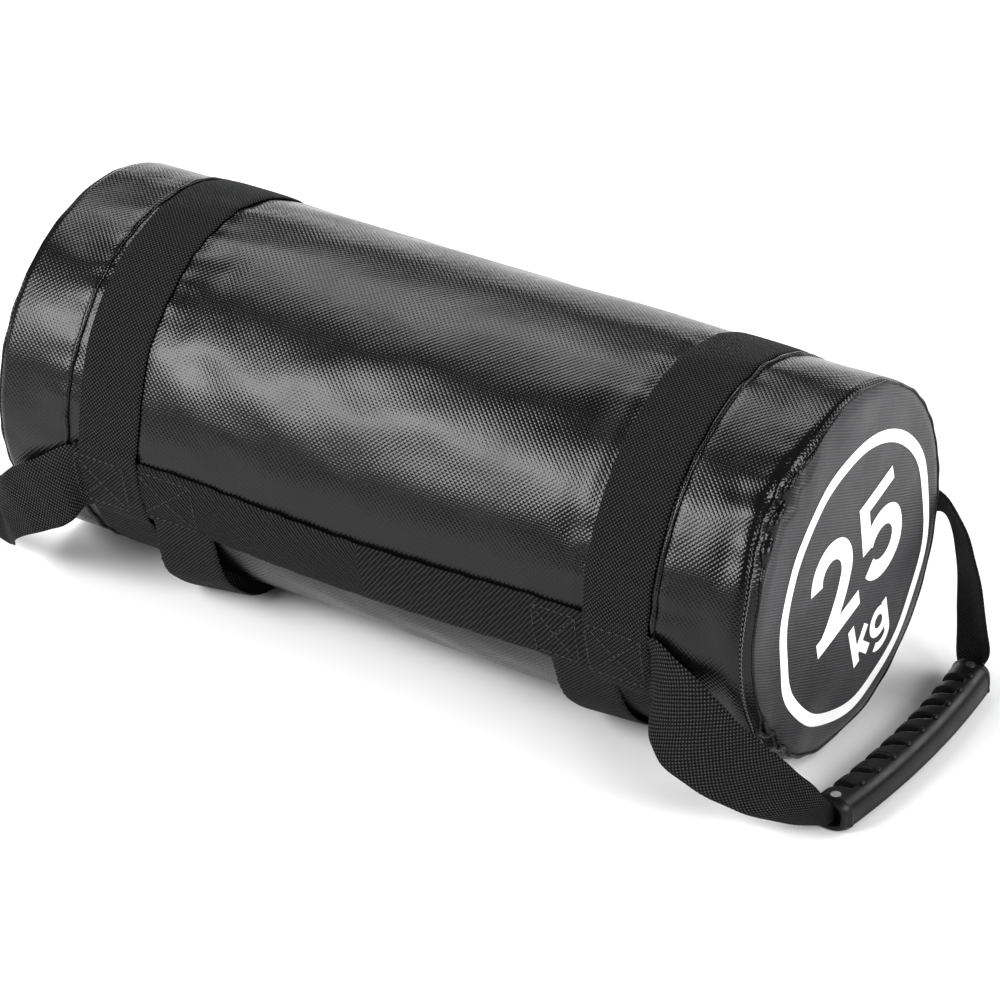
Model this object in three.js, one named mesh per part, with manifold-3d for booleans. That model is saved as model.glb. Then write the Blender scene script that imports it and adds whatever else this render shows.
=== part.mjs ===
// A 25 kg training sandbag: a padded tarpaulin barrel with two hoop bands, side carrying straps,
// cross straps underneath, a webbing loop with a moulded grip at each end, and a zipped filling end.
// Millimetres. X runs along the bag towards the printed end, Z is up, and the floor is Z = 0.
import * as THREE from "three";
import { mergeVertices } from "three/addons/utils/BufferGeometryUtils.js";
import Module from "manifold-3d";

const wasm = await Module();
wasm.setup();

// Barrel
const SKIN_RADIUS = 110;
const AXIS_HEIGHT = 108;
const HALF_LENGTH = 254;
const TARPAULIN = 1.2;
const GAP = 0.3;
const ARC_STEP = 6;

// Webbing
const WEBBING_WIDTH = 42;
const WEBBING = 1.8;
const UNDER_RADIUS = SKIN_RADIUS + GAP;
const OVER_RADIUS = UNDER_RADIUS + WEBBING + GAP;
const SKIN_FLOOR = WEBBING + GAP;
const ZIP_BAND_START = -198.5;
const LABEL_BAND_START = 150.5;
const STRAP_ANGLE = -12;
const STRAP_HALF_ANGLE = THREE.MathUtils.radToDeg(WEBBING_WIDTH / 2 / SKIN_RADIUS);
const SPAN_START = -108;
const SPAN_END = 112;
const ZIP_CROSS_START = -156.5;
const LABEL_CROSS_START = 108;
const CROSS_TOP = AXIS_HEIGHT - SKIN_RADIUS * Math.sin(THREE.MathUtils.degToRad(23.8));

// Cap and seam
const SLEEVE_END = 250;
const SEAM_OUTER = 109.4;
const SEAM_INNER = 105.5;
const CAP_RIM = 252.6;
const CAP_CROWN = 2.9;

// End handles
const HINGE_X = 219.8;
const HINGE_Z = 87;
const LOOP_PITCH = THREE.MathUtils.degToRad(-44.9);
const LOOP_REACH = 109;
const LOOP_SIDE = OVER_RADIUS + WEBBING / 2;
const GRIP_LENGTH = 170;
const GRIP_WIDTH = 24;
const GRIP_HEIGHT = 20;
const GRIP_CORNER = 7;
const GRIP_CELLS = 9;
const FOLDED_HALF = 7;
const RIVET_RADIUS = 3;
const RIVET_SETBACK = 6.5;

// Filling
const PADDING = 6;
const PADDING_HALF = 243;
const LINER = 1.2;
const NECK_RADIUS = 10;

// Zip
const ZIP_HALF = 86;
const TOOTH_PITCH = 5.4;
const TAPE_FACE = 251.1;
const TEETH_FACE = 252.4;
const SLIDER_START = -76;

const TARP = { color: 0x141416, roughness: 0.32, metalness: 0 };
const CAP_TARP = { color: 0x2a2a2e, roughness: 0.45, metalness: 0 };
const WEB = { color: 0x0e0e10, roughness: 0.9, metalness: 0 };
const RUBBER = { color: 0x18181a, roughness: 0.6, metalness: 0 };
const STEEL = { color: 0x9a9a9e, roughness: 0.3, metalness: 1 };
const TAPE = { color: 0x101012, roughness: 0.85, metalness: 0 };
const TEETH = { color: 0x26262a, roughness: 0.5, metalness: 0 };
const FELT = { color: 0x6d6f73, roughness: 0.95, metalness: 0 };
const LINING = { color: 0xb9bcb4, roughness: 0.5, metalness: 0 };
const SAND = { color: 0xb59b6c, roughness: 1, metalness: 0 };
const NYLON = { color: 0xd8d6cc, roughness: 0.5, metalness: 0 };

const bag = new THREE.Group();
const radians = THREE.MathUtils.degToRad;

// --- Solids -----------------------------------------------------------------------------------

function solid(geometry) {
  const bare = geometry.clone();
  bare.deleteAttribute("normal");
  bare.deleteAttribute("uv");
  const merged = mergeVertices(bare, 1e-4);
  return new wasm.Manifold(
    new wasm.Mesh({
      numProp: 3,
      vertProperties: merged.attributes.position.array,
      triVerts: new Uint32Array(merged.index.array),
    }),
  );
}

function geometryOf(body) {
  const mesh = body.getMesh();
  const geometry = new THREE.BufferGeometry();
  geometry.setAttribute("position", new THREE.BufferAttribute(mesh.vertProperties, 3));
  geometry.setIndex(new THREE.BufferAttribute(mesh.triVerts, 1));
  geometry.computeVertexNormals();
  return geometry;
}

function add(name, body, look) {
  const mesh = new THREE.Mesh(geometryOf(body), new THREE.MeshStandardMaterial(look));
  mesh.name = name;
  bag.add(mesh);
}

// The same solid at the other end of the bag, turned half round about Z.
function turned(body) {
  return solid(geometryOf(body).rotateZ(Math.PI));
}

function block(x0, x1, y0, y1, z0, z1) {
  const box = new THREE.BoxGeometry(x1 - x0, y1 - y0, z1 - z0);
  return solid(box.translate((x0 + x1) / 2, (y0 + y1) / 2, (z0 + z1) / 2));
}

// Extrudes an outline drawn in two given axes along a third, from low to high.
function extruded(outline, right, up, along, low, high) {
  const geometry = new THREE.ExtrudeGeometry(new THREE.Shape(outline), {
    depth: high - low,
    bevelEnabled: false,
  });
  geometry.translate(0, 0, low);
  return solid(geometry.applyMatrix4(new THREE.Matrix4().makeBasis(right, up, along)));
}

const X = new THREE.Vector3(1, 0, 0);
const Y = new THREE.Vector3(0, 1, 0);
const Z = new THREE.Vector3(0, 0, 1);
const MINUS_Y = new THREE.Vector3(0, -1, 0);

function alongX(outline, x0, x1) {
  return extruded(outline, Y, Z, X, x0, x1);
}

// Angles in degrees at which an arc is drawn: its two ends and each whole step between them.
function arcAngles(from, to) {
  const angles = [from];
  const first = Math.ceil((from + 0.5) / ARC_STEP) * ARC_STEP;
  for (let angle = first; angle < to - 0.5; angle += ARC_STEP) angles.push(angle);
  angles.push(to);
  return angles;
}

// Section of the barrel: a circle about its axis, cut flat at the given height above the floor.
function barrelSection(radius, floor) {
  const below = THREE.MathUtils.radToDeg(Math.asin((AXIS_HEIGHT - floor) / radius));
  return arcAngles(-below, 180 + below).map((angle) => {
    const a = radians(angle);
    return new THREE.Vector2(radius * Math.cos(a), AXIS_HEIGHT + radius * Math.sin(a));
  });
}

function barrel(radius, floor, x0, x1) {
  return alongX(barrelSection(radius, floor), x0, x1);
}

function hoop(outer, outerFloor, wall, x0, x1) {
  const inside = barrel(outer - wall, outerFloor + wall, x0 - 1, x1 + 1);
  return barrel(outer, outerFloor, x0, x1).subtract(inside);
}

// A curved strip on the barrel's side. Angles rise from the horizontal; side is -1 for the front.
function sidePatch(side, inner, outer, from, to, x0, x1) {
  const point = (radius, angle) =>
    new THREE.Vector2(
      side * radius * Math.cos(radians(angle)),
      AXIS_HEIGHT + radius * Math.sin(radians(angle)),
    );
  const angles = arcAngles(from, to);
  const outline = angles.map((angle) => point(outer, angle));
  angles.reverse().forEach((angle) => outline.push(point(inner, angle)));
  return alongX(outline, x0, x1);
}

function strapPatch(side, x0, x1) {
  const low = STRAP_ANGLE - STRAP_HALF_ANGLE;
  const high = STRAP_ANGLE + STRAP_HALF_ANGLE;
  return sidePatch(side, UNDER_RADIUS, UNDER_RADIUS + WEBBING, low, high, x0, x1);
}

// A solid of revolution about the barrel's axis, from a profile of [x, radius] points.
function spun(profile) {
  const points = profile.map(([x, radius]) => new THREE.Vector2(radius, x));
  const lathe = new THREE.LatheGeometry(points, 360 / ARC_STEP);
  lathe.rotateZ(-Math.PI / 2);
  return solid(lathe.translate(0, 0, AXIS_HEIGHT));
}

function aboveFloor(body, floor) {
  return body.intersect(block(-400, 400, -200, 200, floor, 400));
}

// --- Outer shell ------------------------------------------------------------------------------

function addSleeves() {
  const panels = {
    zip_end_sleeve: [-SLEEVE_END, -202.2],
    centre_sleeve: [-201.8, 194.6],
    label_end_sleeve: [195, SLEEVE_END],
  };
  for (const [name, [x0, x1]] of Object.entries(panels))
    add(name, hoop(SKIN_RADIUS, SKIN_FLOOR, TARPAULIN, x0, x1), TARP);
}

// A raised fold of tarpaulin where two sleeve panels are sewn together, just outboard of a band.
function addWelts() {
  const radius = UNDER_RADIUS + WEBBING;
  add("zip_end_welt", hoop(radius, 0, WEBBING, -203.4, -200.6), TARP);
  add("label_end_welt", hoop(radius, 0, WEBBING, 193.4, 196.2), TARP);
}

function crownedDisc(end) {
  const inner = CAP_RIM - TARPAULIN;
  const radius = SEAM_INNER - GAP;
  const outwards = [0, 0.2, 0.4, 0.6, 0.8, 1];
  const inwards = outwards.slice().reverse();
  const bulge = (share) => CAP_CROWN * (1 - share * share);
  const profile = outwards.map((share) => [inner + bulge(share), radius * share]);
  profile.push(...inwards.map((share) => [CAP_RIM + bulge(share), radius * share]));
  const floor = SKIN_FLOOR + SEAM_OUTER - SEAM_INNER + GAP;
  const disc = aboveFloor(spun(profile), floor);
  return end > 0 ? disc : turned(disc);
}

function addCaps() {
  add("label_end_cap", crownedDisc(1), CAP_TARP);
  const edge = 9;
  const zipDisc = crownedDisc(-1);
  const upper = block(-300, -200, -150, 150, AXIS_HEIGHT + edge, 300);
  const lower = block(-300, -200, -150, 150, 0, AXIS_HEIGHT - edge);
  add("zip_end_cap_upper", zipDisc.intersect(upper), CAP_TARP);
  add("zip_end_cap_lower", zipDisc.intersect(lower), CAP_TARP);
}

// The rolled seam that joins a sleeve to its cap.
function addCapSeams() {
  const wall = SEAM_OUTER - SEAM_INNER;
  const x0 = SLEEVE_END + GAP;
  const seam = hoop(SEAM_OUTER, SKIN_FLOOR, wall, x0, HALF_LENGTH);
  add("label_cap_seam", seam, TARP);
  add("zip_cap_seam", turned(seam), TARP);
}

// --- Webbing ----------------------------------------------------------------------------------

// A hoop band, lifted over the strap that passes beneath it on each side.
function band(x0) {
  const x1 = x0 + WEBBING_WIDTH;
  const low = STRAP_ANGLE - STRAP_HALF_ANGLE;
  const high = STRAP_ANGLE + STRAP_HALF_ANGLE;
  const lift = 2.6;
  const clear = 0.4;
  let body = hoop(UNDER_RADIUS + WEBBING, 0, WEBBING, x0, x1);
  for (const side of [-1, 1]) {
    const inner = UNDER_RADIUS + WEBBING / 2;
    const outer = OVER_RADIUS + WEBBING;
    const bridge = sidePatch(side, inner, outer, low - lift, high + lift, x0, x1);
    const from = low - clear;
    const tunnel = sidePatch(side, SKIN_RADIUS, OVER_RADIUS, from, high + clear, x0 - 1, x1 + 1);
    body = body.add(bridge).subtract(tunnel);
  }
  return body;
}

function addBands() {
  add("zip_end_band", band(ZIP_BAND_START), WEB);
  add("label_end_band", band(LABEL_BAND_START), WEB);
}

// Each side strap is sewn down at both ends, and its middle span lifts off as a handle.
function addSideStraps() {
  const zipEdge = ZIP_BAND_START;
  const labelEdge = LABEL_BAND_START + WEBBING_WIDTH;
  for (const [name, side] of [["front", -1], ["back", 1]]) {
    add(name + "_strap_zip_anchor", strapPatch(side, zipEdge, SPAN_START - 0.5), WEB);
    add(name + "_handle_span", strapPatch(side, SPAN_START, SPAN_END), WEB);
    add(name + "_strap_label_anchor", strapPatch(side, SPAN_END + 0.5, labelEdge), WEB);
  }
}

// Webbing that runs under the barrel from one side strap to the other.
function crossStrap(x0) {
  const ring = hoop(UNDER_RADIUS + WEBBING, 0, WEBBING, x0, x0 + WEBBING_WIDTH);
  return ring.intersect(block(-400, 400, -200, 200, -1, CROSS_TOP));
}

function addCrossStraps() {
  add("zip_end_cross_strap", crossStrap(ZIP_CROSS_START), WEB);
  add("label_end_cross_strap", crossStrap(LABEL_CROSS_START), WEB);
}

// --- End handles ------------------------------------------------------------------------------

// Axes of the loop at rest: out from the hinge, and across the webbing's width.
const OUT = new THREE.Vector3(Math.cos(LOOP_PITCH), 0, Math.sin(LOOP_PITCH));
const ACROSS = new THREE.Vector3().crossVectors(OUT, Y);

function atHinge(body) {
  return solid(geometryOf(body).translate(HINGE_X, 0, HINGE_Z));
}

// Centre line of the loop seen along its width: two straight legs that turn in to the grip.
function loopLine() {
  const legEnd = 66;
  const turnIn = 86;
  const turn = new THREE.CubicBezierCurve(
    new THREE.Vector2(legEnd, -LOOP_SIDE),
    new THREE.Vector2(legEnd + 30, -LOOP_SIDE),
    new THREE.Vector2(LOOP_REACH, -LOOP_SIDE),
    new THREE.Vector2(LOOP_REACH, -turnIn),
  );
  const front = [new THREE.Vector2(-WEBBING_WIDTH / 2 - 1, -LOOP_SIDE), ...turn.getPoints(10)];
  const back = front.map((p) => new THREE.Vector2(p.x, -p.y)).reverse();
  return [...front, ...back];
}

// Both edges of a strip of webbing that follows a line, as one closed outline.
function stripOutline(line) {
  const edge = (sign) =>
    line.map((point, i) => {
      const before = line[Math.max(i - 1, 0)];
      const after = line[Math.min(i + 1, line.length - 1)];
      const along = after.clone().sub(before).normalize();
      const across = new THREE.Vector2(-along.y, along.x);
      return point.clone().addScaledVector(across, (sign * WEBBING) / 2);
    });
  return [...edge(1), ...edge(-1).reverse()];
}

// Width of the loop seen from the side: round at the hinge, folded narrow where it meets the grip.
function loopProfile() {
  const half = WEBBING_WIDTH / 2;
  const outline = [];
  for (let angle = 90; angle <= 270; angle += 15) {
    const a = radians(angle);
    outline.push(new THREE.Vector2(half * Math.cos(a), half * Math.sin(a)));
  }
  outline.push(new THREE.Vector2(78, -half));
  outline.push(new THREE.Vector2(101, -FOLDED_HALF));
  outline.push(new THREE.Vector2(LOOP_REACH + 2, -FOLDED_HALF));
  outline.push(new THREE.Vector2(LOOP_REACH + 2, FOLDED_HALF));
  outline.push(new THREE.Vector2(101, FOLDED_HALF));
  outline.push(new THREE.Vector2(78, half));
  return outline;
}

function loopWebbing() {
  const ribbon = extruded(stripOutline(loopLine()), OUT, Y, ACROSS, -30, 30);
  const width = extruded(loopProfile(), OUT, ACROSS, MINUS_Y, -120, 120);
  return atHinge(ribbon.intersect(width));
}

function roundedOutline(cx, cz, width, height, radius) {
  const outline = [];
  const corners = [[1, 1, 0], [-1, 1, 90], [-1, -1, 180], [1, -1, 270]];
  for (const [sx, sz, start] of corners)
    for (let step = 0; step <= 4; step += 1) {
      const a = radians(start + step * 22.5);
      const x = cx + sx * (width / 2 - radius) + radius * Math.cos(a);
      const z = cz + sz * (height / 2 - radius) + radius * Math.sin(a);
      outline.push(new THREE.Vector2(x, z));
    }
  return outline;
}

const GRIP_X = HINGE_X + LOOP_REACH * Math.cos(LOOP_PITCH);

// Slanted finger pockets along the top of the grip.
function gripPocket(index) {
  const pitch = (GRIP_LENGTH - 26) / GRIP_CELLS;
  const y = (index - (GRIP_CELLS - 1) / 2) * pitch;
  const pocket = new THREE.BoxGeometry(12, pitch * 0.42, 5);
  pocket.rotateZ(radians(-28));
  return solid(pocket.translate(GRIP_X - 3, y, GRIP_HEIGHT));
}

function gripStud(index) {
  const pitch = (GRIP_LENGTH - 26) / GRIP_CELLS;
  const y = (index - (GRIP_CELLS - 1) / 2) * pitch;
  const stud = new THREE.SphereGeometry(1.6, 8, 6);
  return solid(stud.translate(GRIP_X + 6.8, y, GRIP_HEIGHT - 1.6));
}

function rivet(y, low, high, radius) {
  const shank = new THREE.CylinderGeometry(radius, radius, high - low, 16);
  shank.rotateX(Math.PI / 2);
  return solid(shank.translate(GRIP_X - 3, y, (low + high) / 2));
}

const RIVET_Y = GRIP_LENGTH / 2 - RIVET_SETBACK;

function grip() {
  const half = GRIP_LENGTH / 2;
  const centre = GRIP_HEIGHT / 2;
  const outline = roundedOutline(GRIP_X, centre, GRIP_WIDTH, GRIP_HEIGHT, GRIP_CORNER);
  let body = extruded(outline, X, Z, MINUS_Y, -half, half);
  const slotX = WEBBING / 2 + GAP;
  const slotZ = FOLDED_HALF + GAP;
  const slot = [[-slotX, -slotZ], [slotX, -slotZ], [slotX, slotZ], [-slotX, slotZ]];
  const outline2 = slot.map(([u, v]) => new THREE.Vector2(LOOP_REACH + u, v));
  body = body.subtract(atHinge(extruded(outline2, OUT, ACROSS, MINUS_Y, -120, 120)));
  for (let i = 0; i < GRIP_CELLS; i += 1) body = body.subtract(gripPocket(i)).add(gripStud(i));
  for (const side of [-1, 1]) {
    const seat = rivet(side * RIVET_Y, GRIP_HEIGHT - 1, GRIP_HEIGHT + 3, RIVET_RADIUS + 0.4);
    body = body.subtract(seat);
  }
  return body;
}

function addEndHandles() {
  const webbing = loopWebbing();
  const handle = grip();
  add("label_handle_webbing", webbing, WEB);
  add("zip_handle_webbing", turned(webbing), WEB);
  add("label_handle_grip", handle, RUBBER);
  add("zip_handle_grip", turned(handle), RUBBER);
  for (const [name, side] of [["front", -1], ["back", 1]]) {
    const top = GRIP_HEIGHT + 0.5;
    const low = GRIP_HEIGHT - 0.7;
    add("label_grip_rivet_" + name, rivet(side * RIVET_Y, low, top, RIVET_RADIUS), STEEL);
    add("zip_grip_rivet_" + name, turned(rivet(-side * RIVET_Y, low, top, RIVET_RADIUS)), STEEL);
  }
}

// --- Zip --------------------------------------------------------------------------------------

// One side's teeth on their bar; direction is 1 for the upper side, whose teeth point down.
function zipTeeth(direction) {
  const bar = [2.2, 3.9];
  const tip = -0.4;
  const toothHalf = 0.8;
  const outline = [new THREE.Vector2(-ZIP_HALF, direction * bar[1])];
  const shift = direction > 0 ? 0 : TOOTH_PITCH / 2;
  outline.push(new THREE.Vector2(-ZIP_HALF, direction * bar[0]));
  for (let y = -ZIP_HALF + 3 + shift; y < ZIP_HALF - 3; y += TOOTH_PITCH) {
    outline.push(new THREE.Vector2(y - toothHalf, direction * bar[0]));
    outline.push(new THREE.Vector2(y - toothHalf, direction * tip));
    outline.push(new THREE.Vector2(y + toothHalf, direction * tip));
    outline.push(new THREE.Vector2(y + toothHalf, direction * bar[0]));
  }
  outline.push(new THREE.Vector2(ZIP_HALF, direction * bar[0]));
  outline.push(new THREE.Vector2(ZIP_HALF, direction * bar[1]));
  const raised = outline.map((p) => new THREE.Vector2(p.x, AXIS_HEIGHT + p.y));
  return alongX(raised, -TEETH_FACE, -TEETH_FACE + 2.6);
}

function zipTape(direction) {
  const near = AXIS_HEIGHT + direction * 4.2;
  const far = AXIS_HEIGHT + direction * 17;
  const z = [near, far].sort((a, b) => a - b);
  return block(-TAPE_FACE, -TAPE_FACE + 0.7, -ZIP_HALF - 5, ZIP_HALF + 5, z[0], z[1]);
}

function zipStop(y) {
  const height = 4.6;
  return block(-TEETH_FACE - 0.4, -TAPE_FACE - GAP, y - 1.2, y + 1.2,
    AXIS_HEIGHT - height, AXIS_HEIGHT + height);
}

const PIN_X = -TEETH_FACE - 4.2;

// An outer plate with a flange down each side of the teeth, and two ears that hold the pull's pin.
function zipSlider() {
  const half = 7;
  const plate = TEETH_FACE + 0.4;
  const y0 = SLIDER_START - half;
  const y1 = SLIDER_START + half;
  const at = (low, high) => [AXIS_HEIGHT + low, AXIS_HEIGHT + high];
  let body = block(-plate - 1.8, -plate, y0, y1, ...at(-5.6, 5.6));
  for (const side of [-1, 1]) {
    const flange = [side * 4.3, side * 5.6].sort((a, b) => a - b);
    body = body.add(block(-plate - 0.5, -TAPE_FACE - 0.4, y0, y1, ...at(...flange)));
    const ear = [side * 3, side * 4.4].sort((a, b) => a - b);
    const [e0, e1] = [SLIDER_START - 2, SLIDER_START + 2];
    body = body.add(block(-plate - 5, -plate - 1, e0, e1, ...at(...ear)));
  }
  const pin = new THREE.CylinderGeometry(0.6, 0.6, 7, 12);
  pin.rotateX(Math.PI / 2);
  return body.add(solid(pin.translate(PIN_X, SLIDER_START, AXIS_HEIGHT)));
}

// A flat tab with an eye that the slider's pin passes through.
function zipPull() {
  const eye = new THREE.CylinderGeometry(1.6, 1.6, 5, 16);
  eye.rotateX(Math.PI / 2).translate(PIN_X, SLIDER_START, AXIS_HEIGHT);
  const bore = new THREE.CylinderGeometry(0.9, 0.9, 8, 16);
  bore.rotateX(Math.PI / 2).translate(PIN_X, SLIDER_START, AXIS_HEIGHT);
  const y0 = SLIDER_START + 1.2;
  const neck = block(PIN_X - 0.8, PIN_X + 0.6, y0, y0 + 10, AXIS_HEIGHT - 2.2, AXIS_HEIGHT + 2.2);
  const tab = block(PIN_X - 0.8, PIN_X + 0.6, y0 + 9, y0 + 30, AXIS_HEIGHT - 4, AXIS_HEIGHT + 4);
  return solid(eye).add(neck).add(tab).subtract(solid(bore));
}

function addZip() {
  add("zip_tape_upper", zipTape(1), TAPE);
  add("zip_tape_lower", zipTape(-1), TAPE);
  add("zip_teeth_upper", zipTeeth(1), TEETH);
  add("zip_teeth_lower", zipTeeth(-1), TEETH);
  add("zip_stop_front", zipStop(-ZIP_HALF - 2), STEEL);
  add("zip_stop_back", zipStop(ZIP_HALF + 2), STEEL);
  add("zip_slider", zipSlider(), STEEL);
  add("zip_pull", zipPull(), STEEL);
}

// --- Filling ----------------------------------------------------------------------------------

function addPadding() {
  const radius = SKIN_RADIUS - TARPAULIN - GAP;
  const floor = SKIN_FLOOR + TARPAULIN + GAP;
  const wrap = hoop(radius, floor, PADDING, -PADDING_HALF, PADDING_HALF);
  add("padding_wrap", wrap, FELT);
  const pad = barrel(radius, floor, PADDING_HALF + GAP, PADDING_HALF + GAP + PADDING);
  add("label_end_pad", pad, FELT);
  add("zip_end_pad", turned(pad), FELT);
}

// Outline of the filled liner: a closed end, a straight tube and a gathered neck.
function linerProfile(inset, mouth) {
  const radius = SKIN_RADIUS - TARPAULIN - PADDING - 2 * GAP - inset;
  const end = PADDING_HALF - GAP - inset;
  return [
    [mouth, 0],
    [mouth, NECK_RADIUS - inset],
    [-PADDING_HALF + 14 + inset, NECK_RADIUS - inset],
    [-PADDING_HALF + 34 + inset, radius],
    [end, radius],
    [end, 0],
  ];
}

function addFilling() {
  const floor = SKIN_FLOOR + TARPAULIN + PADDING + 2 * GAP;
  const mouth = -PADDING_HALF + 2;
  const outer = aboveFloor(spun(linerProfile(0, mouth)), floor);
  const inner = aboveFloor(spun(linerProfile(LINER, mouth - 2)), floor + LINER);
  add("liner_bag", outer.subtract(inner), LINING);
  const heap = aboveFloor(spun(linerProfile(LINER + GAP, mouth + 16)), floor + LINER + GAP);
  add("sand_fill", heap, SAND);
  const tie = spun([
    [mouth + 3, NECK_RADIUS + GAP],
    [mouth + 3, NECK_RADIUS + 2.6],
    [mouth + 7.6, NECK_RADIUS + 2.6],
    [mouth + 7.6, NECK_RADIUS + GAP],
    [mouth + 3, NECK_RADIUS + GAP],
  ]);
  add("liner_tie", tie, NYLON);
}

addSleeves();
addWelts();
addCaps();
addCapSeams();
addBands();
addSideStraps();
addCrossStraps();
addEndHandles();
addZip();
addPadding();
addFilling();

export default bag;
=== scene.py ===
"""A 25 kg training sandbag: a glossy tarpaulin barrel with webbing bands, straps and gripped end loops.

Everything is in metres in the CAD's frame: X runs along the bag towards the printed end, Z is up, the
floor is Z = 0. Angles round the barrel start at +Y and rise over the top, so the front is at pi.
"""
import math

import bmesh
import bpy
import numpy as np
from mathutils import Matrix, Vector


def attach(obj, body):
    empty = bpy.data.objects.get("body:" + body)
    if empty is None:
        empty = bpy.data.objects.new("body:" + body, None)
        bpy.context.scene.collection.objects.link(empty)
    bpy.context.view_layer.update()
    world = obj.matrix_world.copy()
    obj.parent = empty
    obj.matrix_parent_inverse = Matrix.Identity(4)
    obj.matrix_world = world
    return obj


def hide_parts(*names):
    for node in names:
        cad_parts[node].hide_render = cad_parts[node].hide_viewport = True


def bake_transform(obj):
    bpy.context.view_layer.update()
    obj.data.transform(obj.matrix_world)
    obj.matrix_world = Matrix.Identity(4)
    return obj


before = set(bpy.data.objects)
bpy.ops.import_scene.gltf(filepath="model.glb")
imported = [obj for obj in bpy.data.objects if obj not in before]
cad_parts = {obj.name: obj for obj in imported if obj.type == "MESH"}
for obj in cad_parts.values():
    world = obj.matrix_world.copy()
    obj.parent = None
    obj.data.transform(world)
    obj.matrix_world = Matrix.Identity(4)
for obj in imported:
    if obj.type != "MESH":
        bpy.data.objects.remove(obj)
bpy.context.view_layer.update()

MM = 0.001

# Barrel: its axis is AXIS above the floor, and the cloth's outer face stays above SKIN_FLOOR.
AXIS = 0.108
RADIUS = 0.110
SEAM_X = 0.2520
SKIN_FLOOR = 0.0021
ROLL_IN = 0.022

# Webbing, which lies CLOTH_GAP clear of the tarpaulin and passes over other webbing by OVERLAP
WIDTH = 0.042
THICK = 0.0018
CLOTH_GAP = 0.0003
OVERLAP = 0.0021
ZIP_BAND = -0.1775
LABEL_BAND = 0.1715
ZIP_WELT = -0.202
LABEL_WELT = 0.1948
ZIP_CROSS = -0.1325
LABEL_CROSS = 0.1375

# Side straps: sewn down from ZIP_SEWN to SPAN_START and from SPAN_END to LABEL_SEWN, and loose between
STRAP_TILT = math.radians(12)
STRAP_HALF = WIDTH / 2 / RADIUS
ZIP_SEWN = -0.1975
SPAN_START = -0.108
SPAN_MIDDLE = 0.002
SPAN_END = 0.1125
LABEL_SEWN = 0.1915

# Caps: where the face is, its crown, and the share of its radius at which the shoulder starts
CAP_FACE = 0.2538
CAP_CROWN = 0.0022
CAP_SHOULDER = 0.925

# Zipped cap: half the height of the slit, and half the width of the cloth above and below it
ZIP_SLIT = 0.009
ZIP_CAP_HALF = 0.1045

# Felt: the ends of the wrap, and both faces of the end pads
WRAP_END = 0.2405
PAD_INNER = 0.2415
PAD_OUTER = 0.2465

# Grips
GRIP_X = 0.2970
GRIP_HALF = 0.085
GRIP_WIDTH = 0.024
GRIP_HEIGHT = 0.020
GRIP_CELLS = 9
CELL_PITCH = 0.016
POCKET_DEPTH = 0.0052
STUD_RADIUS = 0.0018
GRIP_SEAM_HEIGHT = 0.0048

SIDES = (("front", -1), ("back", 1))
ENDS = (("label", 1), ("zip", -1))


# --- Mesh helpers -----------------------------------------------------------------------------------

def finish_mesh(name, mesh, material, smooth=True):
    mesh.materials.append(material)
    if smooth:
        mesh.shade_smooth()
    piece = bpy.data.objects.new(name, mesh)
    bpy.context.scene.collection.objects.link(piece)
    return piece


def grid_faces(rows, columns, wrap_rows, wrap_columns, flip):
    """Corner indices of a grid's quads, and the row and column of each corner before it wraps."""
    r = np.arange(rows if wrap_rows else rows - 1)
    c = np.arange(columns if wrap_columns else columns - 1)
    r, c = np.meshgrid(r, c, indexing="ij")
    corners = [(r, c), (r, c + 1), (r + 1, c + 1), (r + 1, c)]
    if flip:
        corners.reverse()
    steps = np.stack([np.stack(corner, -1) for corner in corners], 2).reshape(-1, 4, 2)
    index = (steps[..., 0] % rows) * columns + steps[..., 1] % columns
    return index, steps


def grid(name, points, cloth, material, wrap_rows=False, wrap_columns=False, flip=False):
    """A piece from a grid of points. Its UV map, cloth, holds real lengths in metres for the weaves.

    cloth has one more row or column than points where the grid wraps, so that the weave doesn't jump.
    """
    rows, columns = points.shape[:2]
    index, steps = grid_faces(rows, columns, wrap_rows, wrap_columns, flip)
    mesh = bpy.data.meshes.new(name)
    mesh.from_pydata(points.reshape(-1, 3).tolist(), [], index.tolist())
    layer = mesh.uv_layers.new(name="cloth")
    uv = cloth[steps[..., 0], steps[..., 1]].reshape(-1, 2)
    layer.data.foreach_set("uv", uv.astype(np.float32).ravel())
    mesh.update()
    return finish_mesh(name, mesh, material)


def unit(v):
    return v / np.maximum(np.linalg.norm(v, axis=-1, keepdims=True), 1e-12)


def face_out(surface, wrap_rows=False):
    """Unit normals of a grid of points."""
    if wrap_rows:
        along = np.roll(surface, -1, 0) - np.roll(surface, 1, 0)
    else:
        along = np.gradient(surface, axis=0)
    return unit(np.cross(along, np.gradient(surface, axis=1)))


def webbing(name, surface, material, thick=THICK, wrap_rows=False, side=1):
    """Woven strap from its middle surface, given as stations along it by points across it.

    side turns the normals over, so that they point away from the bag.
    """
    normal = side * face_out(surface, wrap_rows)
    share = np.linspace(-1, 1, surface.shape[1])
    round_edge = np.sqrt(np.clip(1 - np.abs(share) ** 14, 0.06, 1))[None, :, None]
    top = surface + normal * round_edge * thick / 2
    under = surface - normal * round_edge * thick / 2
    ring = np.concatenate([top, under[:, ::-1]], 1)
    middle = surface[:, surface.shape[1] // 2]
    step = np.linalg.norm(np.diff(middle, axis=0), axis=1)
    if wrap_rows:
        step = np.append(step, np.linalg.norm(middle[0] - middle[-1]))
    along = np.concatenate([[0], np.cumsum(step)])
    across = np.concatenate([share, share[::-1], share[:1]]) * WIDTH / 2
    cloth = np.stack(np.meshgrid(along, across, indexing="ij"), -1)
    return grid(name, ring, cloth, material, wrap_rows, True, flip=side < 0)


def smoothstep(low, high, value):
    t = np.clip((value - low) / (high - low), 0, 1)
    return t * t * (3 - 2 * t)


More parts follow.
